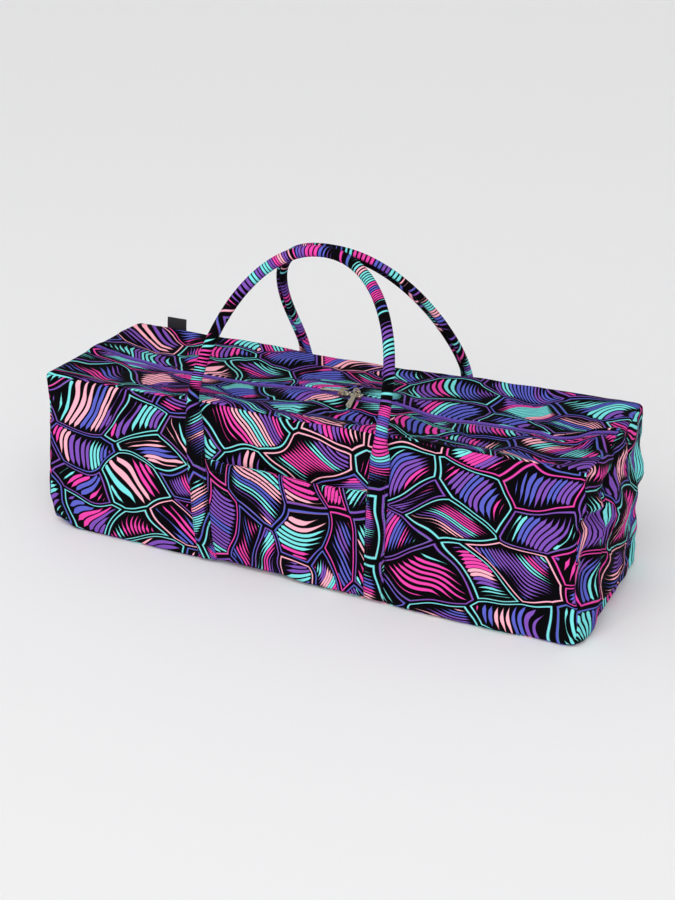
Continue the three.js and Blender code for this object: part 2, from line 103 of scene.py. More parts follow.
# Folds, dents and soft corners, in millimetres: a crease runs from one point to another, and pushes the
# cloth within its reach. The first rows are the form of the solids, and the last ones are finer.
Fold = namedtuple("Fold", "what start end reach push")
FOLDS = [
    Fold("dip before the sliders", (24, -38, 190), (54, -38, 190), 40, (0, 0, -12)),
    Fold("slack of top, left", (-230, -52, 190), (-110, -46, 190), 34, (0, 0, -4)),
    Fold("slack of top, right", (120, -50, 192), (250, -44, 194), 34, (0, 0, -4)),
    Fold("slack of back strip", (-160, 52, 190), (130, 50, 192), 36, (0, 0, -3)),
    Fold("crease by front edge", (328, -92, 62), (328, -90, 132), 26, (-10, 0, 0)),
    Fold("hollow over the crease", (328, -58, 140), (328, -50, 146), 34, (-8, 0, 0)),
    Fold("fold under the top edge", (328, -30, 156), (328, 84, 146), 26, (-6, 0, 0)),
    Fold("ridge under the fold", (330, -24, 118), (330, 84, 112), 30, (5, 0, 0)),
    Fold("bulge of the back edge", (329, 104, 118), (329, 106, 124), 30, (2, 1, 0)),
    Fold("dent of the back edge", (329, 104, 66), (329, 104, 84), 30, (-4, -1, 0)),
    Fold("base edge that bows out", (330, -62, 0), (330, 62, 0), 62, (5, 0, 0)),
    Fold("back edge that sags", (-70, 100, 193), (100, 100, 194), 56, (0, 0, -3)),
    Fold("slack of the left end", (-330, -60, 150), (-330, 50, 158), 30, (2, 0, 0)),
    Fold("soft corner, left front", (-330, -114, 0), (-330, -114, 6), 40, (8, 4, 9)),
    Fold("soft corner, left back", (-330, 114, 0), (-330, 114, 6), 36, (6, -4, 7)),
    Fold("soft corner, right front", (330, -114, 0), (330, -114, 2), 18, (-2, 2, 2)),
    Fold("soft corner, right back", (330, 114, 0), (330, 114, 2), 18, (-2, -2, 2)),
    Fold("left top edge that stands out", (-325, -100, 188), (-325, 70, 189), 40, (-5, 0, 1)),
    Fold("left front foot that stands out", (-326, -108, 14), (-326, -60, 14), 36, (-4, -2, 0)),
    Fold("right end drawn in at its foot", (330, -40, 24), (330, 70, 24), 46, (-6, 0, 0)),
    Fold("back top edge that stands up, right", (90, 104, 196), (300, 104, 198), 40, (0, 0, 2.6)),
    Fold("front foot that lifts between the straps", (-100, -114, 0), (-20, -114, 0), 34, (0, 2, 2.6)),
    Fold("front foot that stands out, right", (140, -112, 8), (240, -112, 8), 42, (0, -4, 0)),
    Fold("zip end that stands up, left", (-322, 0, 190), (-314, 0, 190), 24, (0, 0, 3)),
    Fold("zip that arches by its left end", (-292, 0, 190), (-262, 0, 190), 30, (0, 0, 6)),
    Fold("zip dip behind the left strap", (-226, 0, 189), (-214, 0, 189), 22, (0, 0, -2)),
    Fold("valley behind the front edge, right", (90, -78, 192), (296, -78, 196), 19, (0, 0, -4.5)),
    Fold("valley behind the front edge, left", (-300, -80, 186), (-150, -78, 187), 18, (0, 0, -3)),
    Fold("zip dip behind the right strap", (112, 0, 190), (138, 0, 190), 28, (0, 0, -4)),
    Fold("zip that stands up, right", (184, 0, 191), (232, 0, 192), 24, (0, 0, 2.5)),
    Fold("zip dip by its right end", (254, 0, 193), (262, 0, 193), 24, (0, 0, -4)),
    Fold("zip end that stands up, right", (304, 2, 197), (322, 4, 197), 26, (-1, 5, 6)),
    Fold("slack along the back edge", (-250, 80, 190), (-60, 82, 190), 18, (0, 0, -2.5)),
    Fold("crease in the dip", (-18, -62, 188), (66, -44, 190), 13, (0, 0, -5)),
    Fold("crease across the dip", (62, -80, 190), (82, -22, 190), 12, (0, 0, -4)),
    Fold("fold left of the dip", (-96, -66, 188), (-30, -30, 188), 14, (0, 0, -4)),
    Fold("gather at the zip end, front", (286, -22, 196), (322, -30, 197), 11, (0, 0, -4)),
    Fold("gather at the zip end, back", (270, 24, 196), (322, 34, 197), 12, (0, 0, -4)),
    Fold("roll over the right top edge", (325, -66, 186), (325, 58, 188), 17, (3, 0, -2)),
    Fold("crease up to the right corner", (330, -56, 148), (330, -92, 184), 14, (-6, 0, 0)),
    Fold("pinch behind the hollow", (331, -18, 132), (331, 58, 128), 13, (-5, 0, 0)),
    Fold("ridge behind the crease", (331, -64, 112), (331, -70, 48), 17, (4, 0, 0)),
    Fold("crease of the lower end", (332, -30, 84), (332, 40, 46), 16, (-4, 0, 0)),
    Fold("crease by the back edge", (330, 70, 150), (330, 92, 96), 15, (-4, 0, 0)),
    Fold("lip over the hollow", (333, -100, 158), (333, -58, 153), 14, (6, 0, 0)),
    Fold("tuck under the lip", (333, -96, 137), (333, -56, 134), 13, (-8, 0, 0)),
    Fold("second fold under the lip", (333, -40, 112), (333, -84, 96), 13, (-5, 0, 0)),
    Fold("fold over the base edge", (333, -80, 34), (333, 20, 30), 15, (3, 0, 0)),
    Fold("pleat beside the zip end", (326, -14, 186), (326, -40, 160), 12, (-5, 0, 0)),
    Fold("pleat behind the zip end", (326, 20, 186), (327, 46, 164), 12, (-4, 0, 0)),
    Fold("drag from the left corner", (-300, -106, 178), (-238, -108, 140), 16, (0, 2.5, 0)),
    Fold("drag from the right corner", (300, -106, 180), (236, -110, 138), 16, (0, 2.5, 0)),
    Fold("drag under the left strap end", (-136, -108, 176), (-176, -110, 120), 15, (0, 2.2, 0)),
    Fold("drag under the right strap end", (112, -108, 176), (160, -110, 116), 15, (0, 2.2, 0)),
]

# How a seam looks from outside: the bend of the cloth into it, its groove, and the puckers beside it, each
# row with their height, reach and pitch
SEAM_BEND = 0.0045
SEAM_GROOVE, GROOVE_REACH = 0.0011, 0.0016
PUCKERS = [(0.0008, 0.0045, 0.010), (0.0016, 0.014, 0.027)]

# Loose cloth: how far it drifts from its place, its ripples, which fade out at the seams, and its creases,
# which run longer up the bag than across it
DRIFT, DRIFT_LENGTH = 0.0016, 0.055
RIPPLE_LENGTH, FINE_RIPPLE_LENGTH, FINE_RIPPLE_SHARE = 0.062, 0.026, 0.3
RIPPLE_FADE = 0.022
CREASE_LENGTH, CREASE_UPRIGHT = 0.046, 0.55
RIDGES, RIDGES_MEAN = (1.0, 2.0, 2, 0.9, 1.6), 1.0  # fall in height, lacunarity, octaves, offset and gain

# The seed keeps the drift the same in every run
NOISE_SEED = 5
noise.seed_set(NOISE_SEED)


def mix(low, high, share):
    return low + (high - low) * share


def ease(share):
    share = min(1.0, max(0.0, share))
    return share * share * (3 - 2 * share)


def bag_height(x):
    return mix(LEFT_HEIGHT, RIGHT_HEIGHT, x / BASE_LENGTH + 0.5)


def half_length(rise):
    return mix(BASE_LENGTH, TOP_LENGTH, rise) / 2


def half_depth(rise):
    return mix(BASE_DEPTH, TOP_DEPTH, rise) / 2


def fold_rows():
    """The folds in metres, each with the vector along its crease."""
    rows = []
    for fold in FOLDS:
        start = Vector(fold.start) * MM
        along = Vector(fold.end) * MM - start
        rows.append((start, along, along.length_squared, fold.reach * MM, Vector(fold.push) * MM))
    return rows


FOLD_ROWS = fold_rows()


def folded(point):
    """Sum of the pushes of all folds that reach a point."""
    moved = point.copy()
    for start, along, length_squared, reach, push in FOLD_ROWS:
        share = min(1.0, max(0.0, (point - start).dot(along) / length_squared))
        away = (point - start - along * share).length / reach
        if away < 1:
            moved += push * (1 - away**2) ** 2
    return moved


def on_cube(name, across, up):
    """A place on the cube that the bag is shaped from, across and up one of its faces from -1 to 1."""
    face = FACES[name]
    return face.across * across + face.up * up + face.out


def on_face(name, across, up, lift=0.0, drape_at=None):
    """A point of a face: across and up from -1 to 1, with a lift outward from the skin. The drape is read at
    the same place, or at drape_at."""
    face = FACES[name]
    unit = on_cube(name, across, up)
    rise = (unit.z + 1) / 2
    x = unit.x * half_length(rise)
    y = unit.y * half_depth(rise)
    point = Vector((x, y, bag_height(x) * rise))
    swell = face.swell * (1 - across**6) * (1 - up**2) * (1 - face.belly * up)
    return folded(point + face.out * (swell + lift)) + draped(name, *(drape_at or (across, up)))


# Drape: the skin as one shell of cloth, cut a little too large for its form, so that it crumples by itself.
# SLACK says how much of the spare cloth each face gets. The shell is simulated larger than life, because the
# solver is tuned to things of a few metres.
DRAPE_CELL, DRAPE_STEPS, DRAPE_SCALE = 0.0078, 26, 10.0
SPARE_CLOTH, DRAPE_CAP, BASE_FADE = 0.24, 0.0130, 0.030
SLACK = {"front": 0.3, "back": 0.3, "left": 0.6, "right": 1.0, "top": 0.8}
DRAPE = {}


def drape_counts(name):
    """Cells of the drape's grid across and up a face."""
    face = FACES[name]
    size = Vector((BASE_LENGTH, BASE_DEPTH, RIGHT_HEIGHT))
    return [round(abs(size.dot(axis)) / DRAPE_CELL) for axis in (face.across, face.up)]


def draped(name, across, up):
    """How far the drape has moved a point of a face, by a smooth curve through the nearest cells."""
    if name not in DRAPE:
        return Vector((0, 0, 0))
    moves = DRAPE[name]
    columns, rows = drape_counts(name)
    i, i_weights = curve_weights((across + 1) / 2 * columns, columns)
    j, j_weights = curve_weights((up + 1) / 2 * rows, rows)
    total = Vector((0, 0, 0))
    for b, row_weight in enumerate(j_weights):
        row = moves[min(rows, max(0, j + b - 1))]
        for a, weight in enumerate(i_weights):
            total += row[min(columns, max(0, i + a - 1))] * (weight * row_weight)
    return total


def curve_weights(at, count):
    """The cell that a place on a line of cells lies in, and the weights of a Catmull-Rom curve there."""
    cell = min(count - 1, max(0, int(at)))
    t = min(1.0, max(0.0, at - cell))
    return cell, (
        t * (t * (2 - t) - 1) / 2,
        (t * t * (3 * t - 5) + 2) / 2,
        t * (t * (4 - 3 * t) + 1) / 2,
        t * t * (t - 1) / 2,
    )


def half_sizes(name):
    """Half the width and half the height of a face, in metres."""
    halves = Vector((half_length(0.5), half_depth(0.5), LEFT_HEIGHT / 2))
    face = FACES[name]
    return abs(halves.dot(face.across)), abs(halves.dot(face.up))


def skin(name, across, up, lift=0.0, drape_at=None):
    """A point of a face with the loose cloth's ripples, which die out at the seams and along the zip."""
    face = FACES[name]
    wide, high = half_sizes(name)
    if name == "top":
        from_hem = abs(up) * high - ZIP_GAP / 2
        lift += HEM_RISE_SHARE * zip_rise(across * half_length(1)) * (1 - ease(from_hem / HEM_RISE_REACH))
    point = on_face(name, across, up, lift, drape_at)
    if name == "base":
        return point
    from_sides, from_ends = (1 - abs(across)) * wide, (1 - abs(up)) * high
    nearest = min(from_sides, from_ends)
    if name == "top":
        nearest = min(nearest, from_hem)
    ripple = noise.noise(point / RIPPLE_LENGTH)
    ripple += FINE_RIPPLE_SHARE * noise.noise(point / FINE_RIPPLE_LENGTH)
    drift = noise.noise_vector(point / DRIFT_LENGTH) * DRIFT * ease(point.z / RIPPLE_FADE)
    if name == "top" and abs(up) < 0.5:  # the half of a strip beside the zip
        drift *= ease(nearest / RIPPLE_FADE)
    loose = face.ripple * ripple - face.crease * crease_depth(point)
    return point + drift + face.out * (loose * ease(nearest / RIPPLE_FADE))


def crease_depth(point):
    """Sharp valleys between soft swells, longer up the bag than across it; about 0 on the whole."""
    place = Vector((point.x, point.y, point.z * CREASE_UPRIGHT)) / CREASE_LENGTH
    return noise.ridged_multi_fractal(place, *RIDGES) - RIDGES_MEAN


def on_side(side, x, z, lift):
    """A point of the skin by its real x and z, on the front, with side -1, or on the back, with side 1."""
    rise = z / bag_height(x)
    return skin("front" if side < 0 else "back", -side * x / half_length(rise), 2 * rise - 1, lift)


def on_top(x, y, lift):
    """A point of the zip by its real x and y."""
    return on_face("top", x / half_length(1), y / half_depth(1), lift + zip_rise(x))


def zip_rise(x):
    """The slack zip arches up a little between its sliders and its ends."""
    from_sliders = abs(x - SLIDERS_X) - FLAT_BY_SLIDERS
    from_ends = half_length(1) - abs(x) - FLAT_BY_ENDS
    return ZIP_RISE * ease(min(from_sliders, from_ends) / RISE_REACH)


def hem_reach(x):
    """How far the hems lie from the zip's middle: they part at the sliders and close up away from them."""
    closing = ease((abs(x - SLIDERS_X) - SLIDER_ROOM) / HEM_CLOSING)
    return mix(ZIP_GAP / 2, HEM_CLOSED, closing)


def leg_x(handle, end, z):
    """Where a leg stands at a height: end is -1 for the left leg and 1 for the right one."""
    low = handle.foot_centre + end * handle.foot_half
    spring = handle.arch_centre + end * handle.arch_half
    return mix(low, spring, min(1.0, z / TUBE_SPRING))


# Where the drape is held: by the seams along its edges and at its corners, and beside the straps and the
# margin of the top that they pass, each with a share and a reach; and round the sliders, whose pulls lie on
# the top, with the reach along the zip and across it
EDGE_HOLD, CORNER_HOLD, STRAP_HOLD = (0.60, 0.012), (0.93, 0.045), (0.85, 0.028)
STRAP_MARGIN, SLIDER_HOLD = 0.016, (0.075, 0.046)

# The cloth of the drape. Its vertex groups say where the shell is held and how much spare cloth it has.
DRAPE_CLOTH = {
    "quality": 6,
    "mass": 0.4,
    "tension_stiffness": 30,
    "compression_stiffness": 30,
    "shear_stiffness": 12,
    "bending_stiffness": 0.6,
    "vertex_group_mass": "held",
    "pin_stiffness": 2.0,
    "vertex_group_shrink": "slack",
    "shrink_min": 0.0,
    "shrink_max": -SPARE_CLOTH,
}
DRAPE_GRAVITY = 0.35


def hold_share(name, across, up, point):
    """1 where the skin is held in place, 0 where it is free to crumple."""
    wide, high = half_sizes(name)
    from_sides, from_ends = (1 - abs(across)) * wide, (1 - abs(up)) * high
    held = max(
        1 - ease(point.z / BASE_FADE),
        EDGE_HOLD[0] * (1 - ease(min(from_sides, from_ends) / EDGE_HOLD[1])),
        CORNER_HOLD[0] * (1 - ease(max(from_sides, from_ends) / CORNER_HOLD[1])),
    )
    if name == "top":
        off_x, off_y = abs(point.x - SLIDERS_X) / SLIDER_HOLD[0], abs(point.y) / SLIDER_HOLD[1]
        held = max(held, 1 - ease(2 * max(off_x, off_y) - 1))
    for handle in HANDLES.values():
        if handle.side * point.y > 0:
            nearest = min(abs(point.x - leg_x(handle, end, point.z)) for end in (-1, 1))
            away = max(nearest, half_depth(1) - STRAP_MARGIN - abs(point.y))
            held = max(held, STRAP_HOLD[0] * (1 - ease(2 * away / STRAP_HOLD[1] - 1)))
    return held


def drape_shell():
    """The skin without its base as one welded shell, and each corner's place on the cube it started from."""
    bm = bmesh.new()
    for name in SLACK:
        columns, rows = drape_counts(name)
        grid = bmesh.ops.create_grid(bm, x_segments=columns, y_segments=rows, size=1.0)
        for corner in grid["verts"]:
            corner.co = on_cube(name, corner.co.x, corner.co.y)
    bmesh.ops.remove_doubles(bm, verts=bm.verts, dist=1e-4)
    bmesh.ops.recalc_face_normals(bm, faces=bm.faces)
    cube = [corner.co.copy() for corner in bm.verts]
    return bm, cube


def face_of(unit):
    """The face that a point of the cube lies on, and its place across and up it."""
    name = max(SLACK, key=lambda face: FACES[face].out.dot(unit))
    return name, FACES[name].across.dot(unit), FACES[name].up.dot(unit)


def crumple(shell, start):
    """Runs the cloth simulation on a shell and gives how far each corner has moved."""
    cloth = shell.modifiers.new("drape", "CLOTH")
    for key, value in DRAPE_CLOTH.items():
        setattr(cloth.settings, key, value)
    cloth.settings.effector_weights.gravity = DRAPE_GRAVITY
    cloth.collision_settings.use_collision = False
    cloth.point_cache.frame_start, cloth.point_cache.frame_end = 1, DRAPE_STEPS
    scene = bpy.context.scene
    for step in range(1, DRAPE_STEPS + 1):
        scene.frame_set(step)
    settled = shell.evaluated_get(bpy.context.evaluated_depsgraph_get()).data
    moves = [(corner.co - from_point) / DRAPE_SCALE for corner, from_point in zip(settled.vertices, start)]
    scene.frame_set(1)
    return moves


def cube_key(unit):
    """A place on the cube, rounded so that it can be looked up."""
    return tuple(round(c * 1000) for c in unit)


def mesh_of(name, bm):
    """The mesh of a bmesh, which is freed."""
    mesh = bpy.data.meshes.new(name)
    bm.to_mesh(mesh)
    bm.free()
    return mesh


def add_object(name, data):
    made = bpy.data.objects.new(name, data)
    bpy.context.scene.collection.objects.link(made)
    return made


def drape_skin():
    """Simulates the shell and keeps its moves, capped, for each face's grid."""
    bm, cube = drape_shell()
    places = [face_of(unit) for unit in cube]
    skins = [on_face(*place) for place in places]
    for corner, point in zip(bm.verts, skins):
        corner.co = point * DRAPE_SCALE
    mesh = mesh_of("drape", bm)
    shell = add_object("drape", mesh)
    held, slack = shell.vertex_groups.new(name="held"), shell.vertex_groups.new(name="slack")
    for index, (place, point) in enumerate(zip(places, skins)):
        held.add([index], hold_share(*place, point), "REPLACE")
        slack.add([index], SLACK[place[0]], "REPLACE")
    moves = crumple(shell, [point * DRAPE_SCALE for point in skins])
    bpy.data.objects.remove(shell)
    bpy.data.meshes.remove(mesh)
    found = {}
    for unit, place, point, move in zip(cube, places, skins, moves):
        free = 1 - hold_share(*place, point)
        limit = DRAPE_CAP * math.tanh(move.length / DRAPE_CAP) * free
        found[cube_key(unit)] = move.normalized() * limit
    for name in SLACK:
        columns, rows = drape_counts(name)
        across = [2 * i / columns - 1 for i in range(columns + 1)]
        up = [2 * j / rows - 1 for j in range(rows + 1)]
        DRAPE[name] = [[found[cube_key(on_cube(name, u, v))] for u in across] for v in up]


def srgb(text):
    """A linear RGBA colour from an sRGB hex value."""
    shares = [int(text[i : i + 2], 16) / 255 for i in (1, 3, 5)]
    linear = [c / 12.92 if c <= 0.04045 else ((c + 0.055) / 1.055) ** 2.4 for c in shares]
    return (*linear, 1.0)


def set_inputs(node, inputs):
    """Links or sets the inputs of a node: a dict has them by name or number, a list in their order."""
    for key, value in inputs.items() if isinstance(inputs, dict) else enumerate(inputs):
        if isinstance(value, bpy.types.NodeSocket):
            node.id_data.links.new(value, node.inputs[key])
        else:
            node.inputs[key].default_value = value


def add_node(tree, kind, inputs, **settings):
    """Adds a shader node with its settings and links, and gives its outputs."""
    made = tree.nodes.new("ShaderNode" + kind)
    for key, value in settings.items():
        setattr(made, key, value)
    set_inputs(made, inputs)
    return made.outputs


def new_material(name, **values):
    """A material with one Principled shader, whose even values are set on its own sockets. It comes with the
    function that adds nodes to it, and with its shader."""
    material = bpy.data.materials.new(name)
    material.use_nodes = True
    shader = material.node_tree.nodes["Principled BSDF"]
    set_inputs(shader, {key.replace("_", " "): value for key, value in values.items()})
    return material, partial(add_node, material.node_tree), shader


UV_NAME = "cloth"

# Print: the colours, each with the share of a draw from which it is taken
PRINT_BLACK = "#060508"
PRINT_COLOURS = [
    (0.00, "#7E51B2"),
    (0.28, "#5B61C1"),
    (0.46, "#78DCDC"),
    (0.72, "#FCAFC0"),
    (0.81, "#E845A6"),
]
SWIRL_SIZE, SWAY, SCATTER = 0.10, 0.06, 0.9  # how wavy the pebbles' outlines are, and how uneven they lie
ARC_CENTRE = (0.045, 0.13)  # how far from the middle of its pebble the stripes' own centre lies
STRIPES_PER_METRE = (170.0, 380.0)
HAND_SIZE, HAND_RANGE = 0.045, (0.36, 0.64)  # the unsteady hand that draws the stripes
STRIPE_HALF_WIDTH = (0.22, 0.41)  # as a share of the stripe and its black line, in thin and bold pebbles
STRIPE_ENDS = (0.10, 0.46)  # how far from the rim the stripes reach full width, as a share of the pebble
STRIPE_TIP, STRIPE_BLUR = -0.05, (-0.02, 0.03)
RIM_LINE, RIM_BLUR = (0.030, 0.053), 0.005  # the coloured line round a pebble, as shares of it
RUN_PER_STRIPE, RUN_STEP = 0.45, 7.0  # how much of a run of one colour a stripe takes, and where runs start
DRAW_STEP, WINDOW_STEP, WINDOW_WIDTH = 97.0, 5.3, 0.8  # draws of colour, and the part that a pebble draws on
THREAD_PITCH = 1.4 * MM


def printed_canvas(name, pebble_size, stretch, turn):
    """Plain-woven cotton canvas, screen-printed: matt, with pebbles of curved stripes outlined in black.
    Turn is how far the stripes of a pebble may lean from straight across the cloth, in radians."""
    material, add, shader = new_material(name, Roughness=0.86, Sheen_Weight=0.01, Specular_IOR_Level=0.03)
    uv = add("UVMap", {}, uv_map=UV_NAME)["UV"]

    # Pebbles: stretched cells with wavy outlines
    swirl = add("TexNoise", {"Vector": uv, "Scale": 1 / SWIRL_SIZE, "Detail": 1.0})["Color"]
    sway = add("VectorMath", [swirl, (0.5, 0.5, 0.5)], operation="SUBTRACT")[0]
    wavy = add("VectorMath", [sway, (SWAY, SWAY, 0), uv], operation="MULTIPLY_ADD")[0]
    flat = add("VectorMath", [wavy, (stretch, 1, 0)], operation="MULTIPLY")[0]
    cells = {"Vector": flat, "Scale": 1 / pebble_size, "Randomness": SCATTER}
    pebble = add("TexVoronoi", cells, voronoi_dimensions="2D")
    edge = add("TexVoronoi", cells, voronoi_dimensions="2D", feature="DISTANCE_TO_EDGE")
    rim = edge["Distance"]
    seed = add("SeparateColor", {"Color": pebble["Color"]})

    # Stripes: arcs about a point beside or inside each pebble
    local = add("VectorMath", [flat, pebble["Position"]], operation="SUBTRACT")[0]
    angle = add("MapRange", {"Value": seed[0], "To Min": -turn, "To Max": turn})[0]
    turned = add("VectorRotate", {"Vector": local, "Angle": angle}, rotation_type="Z_AXIS")[0]
    near, far = ARC_CENTRE
    reach = add("MapRange", {"Value": seed[1], "To Min": near, "To Max": far})[0]
    centre = add("CombineXYZ", {"X": reach})[0]
    radius = add("VectorMath", [turned, centre], operation="DISTANCE")["Value"]
    few, many = STRIPES_PER_METRE
    density = add("MapRange", {"Value": seed[2], "To Min": few, "To Max": many})[0]
    hand = add("TexNoise", {"Vector": uv, "Scale": 1 / HAND_SIZE, "Detail": 0.0})[0]
    count = add("Math", [radius, density, hand], operation="MULTIPLY_ADD")[0]
    stripe = add("Math", [count], operation="FLOOR")[0]
    inside = add("Math", [count], operation="FRACT")[0]

    # Colour: two or three stripes side by side share one, out of a few that the pebble draws on
    shift = add("Math", [seed[0], RUN_STEP], operation="MULTIPLY")[0]
    run = add("Math", [stripe, RUN_PER_STRIPE, shift], operation="MULTIPLY_ADD")[0]
    group = add("Math", [run], operation="FLOOR")[0]
    key = add("Math", [seed[2], DRAW_STEP, group], operation="MULTIPLY_ADD")[0]
    draw = add("TexWhiteNoise", {"W": key}, noise_dimensions="1D")["Value"]
    window = add("Math", [seed[1], WINDOW_STEP], operation="MULTIPLY")[0]
    pick = add("Math", [draw, WINDOW_WIDTH, window], operation="MULTIPLY_ADD")[0]
    band = add("Math", [rim, RIM_LINE[1]], operation="LESS_THAN")[0]
    pen = add("Mix", {"Factor": band, 2: pick, 3: window}, data_type="FLOAT")[0]
    share = add("Math", [pen], operation="FRACT")[0]
    dye = add("ValToRGB", {"Fac": share})["Color"]
    ramp = dye.node.color_ramp
    ramp.interpolation = "CONSTANT"
    while len(ramp.elements) < len(PRINT_COLOURS):
        ramp.elements.new(1.0)
    for stop, (position, colour) in zip(ramp.elements, PRINT_COLOURS):
        stop.position = position
        stop.color = srgb(colour)

    # Black lines between the stripes, which widen to the black outline and coloured rim of the pebble
    middle = add("Math", [inside, 0.5], operation="SUBTRACT")[0]
    off = add("Math", [middle], operation="ABSOLUTE")[0]
    thin, bold = STRIPE_HALF_WIDTH
    weight = add("MapRange", {"Value": seed[0], "To Min": thin, "To Max": bold})[0]
    ends = {"Value": hand, "From Min": HAND_RANGE[0], "From Max": HAND_RANGE[1]}
    ends |= {"To Min": STRIPE_ENDS[0], "To Max": STRIPE_ENDS[1]}
    fade = add("MapRange", ends)[0]
    taper = {"Value": rim, "From Min": RIM_LINE[1], "From Max": fade, "To Min": STRIPE_TIP, "To Max": weight}
    width = add("MapRange", taper, interpolation_type="SMOOTHSTEP")[0]
    left = add("Math", [width, off], operation="SUBTRACT")[0]
    outside, within = STRIPE_BLUR
    lines = add("MapRange", {"Value": left, "From Min": outside, "From Max": within})[0]
    middle_line = sum(RIM_LINE) / 2
    aside = add("Math", [rim, middle_line], operation="SUBTRACT")[0]
    apart = add("Math", [aside], operation="ABSOLUTE")[0]
    half_line = (RIM_LINE[1] - RIM_LINE[0]) / 2
    line = {"Value": apart, "From Min": half_line + RIM_BLUR, "From Max": half_line - RIM_BLUR}
    drawn = add("MapRange", line)[0]
    ink = add("Math", [lines, drawn], operation="MAXIMUM")[0]
    inks = {"Factor": ink, 6: srgb(PRINT_BLACK), 7: dye}
    printed = add("Mix", inks, data_type="RGBA")[2]

    # Weave: threads 0.7 mm apart on the real cloth, drawn at twice that so that they show
    thread = 2 * math.pi / THREAD_PITCH
    split = add("SeparateXYZ", {"Vector": uv})
    warp = add("Math", [split["X"], thread], operation="MULTIPLY")[0]
    weft = add("Math", [split["Y"], thread], operation="MULTIPLY")[0]
    over = add("Math", [warp], operation="SINE")[0]
    under = add("Math", [weft], operation="SINE")[0]
    weave = add("Math", [over, under], operation="MULTIPLY")[0]
    bump = add("Bump", {"Height": weave, "Strength": 0.35, "Distance": 0.0003})[0]
    set_inputs(shader, {"Base Color": printed, "Normal": bump})
    return material


def zip_tape_weave():
    """Woven polyester tape: purple, a little silkier than the canvas, with fine ribs along it."""
    material, add, shader = new_material("purple_zip_tape", Roughness=0.62, Sheen_Weight=0.25)
    place = add("TexCoord", {})["Object"]
    ribs = add("TexNoise", {"Vector": place, "Scale": 1 / (1.2 * MM), "Detail": 2.0})[0]
    purples = {"Factor": ribs, 6: srgb("#4A2690"), 7: srgb("#7444BE")}
    shade = add("Mix", purples, data_type="RGBA")[2]
    bump = add("Bump", {"Height": ribs, "Strength": 0.3, "Distance": 0.0002})[0]
    set_inputs(shader, {"Base Color": shade, "Normal": bump})
    return material


def coil_nylon():
    """Drawn nylon filament: purple, smooth and half glossy, so that each loop catches the light."""
    material, add, shader = new_material("purple_coil_nylon", Roughness=0.34, IOR=1.53)
    place = add("TexCoord", {})["Object"]
    cloud = add("TexNoise", {"Vector": place, "Scale": 1 / (20 * MM), "Detail": 2.0})[0]
    purples = {"Factor": cloud, 6: srgb("#5A34A4"), 7: srgb("#7A52C4")}
    shade = add("Mix", purples, data_type="RGBA")[2]
    set_inputs(shader, {"Base Color": shade})
    return material


def nickel_plate():
    """Nickel-plated die casting: pale and warm, polished, with small rubs that dull it."""
    material, add, shader = new_material("nickel_plate", Base_Color=srgb("#CFC6B2"), Metallic=1.0)
    place = add("TexCoord", {})["Object"]
    rubs = add("TexNoise", {"Vector": place, "Scale": 1 / (2.5 * MM), "Detail": 3.0})[0]
    dull = add("MapRange", {"Value": rubs, "To Min": 0.08, "To Max": 0.24})[0]
    set_inputs(shader, {"Roughness": dull})
    return material


def black_tape():
    """Damask label tape: plain black polyester, satin, with a fine rib across it."""
    material, add, shader = new_material("black_label_tape", Base_Color=srgb("#0C0C0F"), Roughness=0.5)
    place = add("TexCoord", {})["Object"]
    ribs = add("TexNoise", {"Vector": place, "Scale": 1 / (0.9 * MM), "Detail": 1.0})[0]
    bump = add("Bump", {"Height": ribs, "Strength": 0.25, "Distance": 0.0002})[0]
    set_inputs(shader, {"Normal": bump})
    return material


def sewing_thread():
    """Spun polyester thread: near black, with a soft sheen that picks the stitches out."""
    material, add, shader = new_material("black_sewing_thread", Base_Color=srgb("#17131F"), Roughness=0.55)
    place = add("TexCoord", {})["Object"]
    twist = add("TexNoise", {"Vector": place, "Scale": 1 / (0.6 * MM)})[0]
    bump = add("Bump", {"Height": twist, "Strength": 0.3, "Distance": 0.0001})[0]
    set_inputs(shader, {"Normal": bump})
    return material


def studio_paper():
    """Paper background roll: pale grey, matt."""
    return new_material("studio_paper", Base_Color=srgb("#F4F4F4"), Roughness=0.95)[0]


drape_skin()

CANVAS = printed_canvas("printed_cotton_canvas", pebble_size=0.046, stretch=0.58, turn=1.2)
STRAP_CANVAS = printed_canvas("printed_strap_canvas", pebble_size=0.085, stretch=1.0, turn=0.3)
ZIP_TAPE = zip_tape_weave()
COIL = coil_nylon()
NICKEL = nickel_plate()
BLACK_TAPE = black_tape()
THREAD = sewing_thread()


def finish_piece(name, bm, material, body="bag", node=None, thickness=0.0):
    """Turns a bmesh to a piece that rides on a body and stands for a node; a sheet gets its thickness."""
    for face in bm.faces:
        face.smooth = True
    mesh = mesh_of(name, bm)
    mesh.materials.append(material)
    piece = add_object(name, mesh)
    if thickness:
        solidify = piece.modifiers.new("cloth thickness", "SOLIDIFY")
        solidify.thickness = thickness
        solidify.offset = -1
    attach(piece, body)
    if node:
        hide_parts(node)
    return piece


def cloth_grid(columns, rows, place, flat):
    """A grid of cloth: place moves each corner from its share across and up, and flat gives its place on the
    flat cut, in metres, for the print."""
    bm = bmesh.new()
    bmesh.ops.create_grid(bm, x_segments=columns, y_segments=rows, size=1.0)
    uv = bm.loops.layers.uv.new(UV_NAME)
    for face in bm.faces:
        for loop in face.loops:
            loop[uv].uv = flat(loop.vert.co.x, loop.vert.co.y)
    for corner in bm.verts:
        corner.co = place(corner.co.x, corner.co.y)
    return bm


CROWDING = 0.78


def crowded(share):
    """Moves shares from -1 to 1 towards the ends, so that the cloth is finer beside its seams."""
    return mix(share, math.sin(share * math.pi / 2), CROWDING)


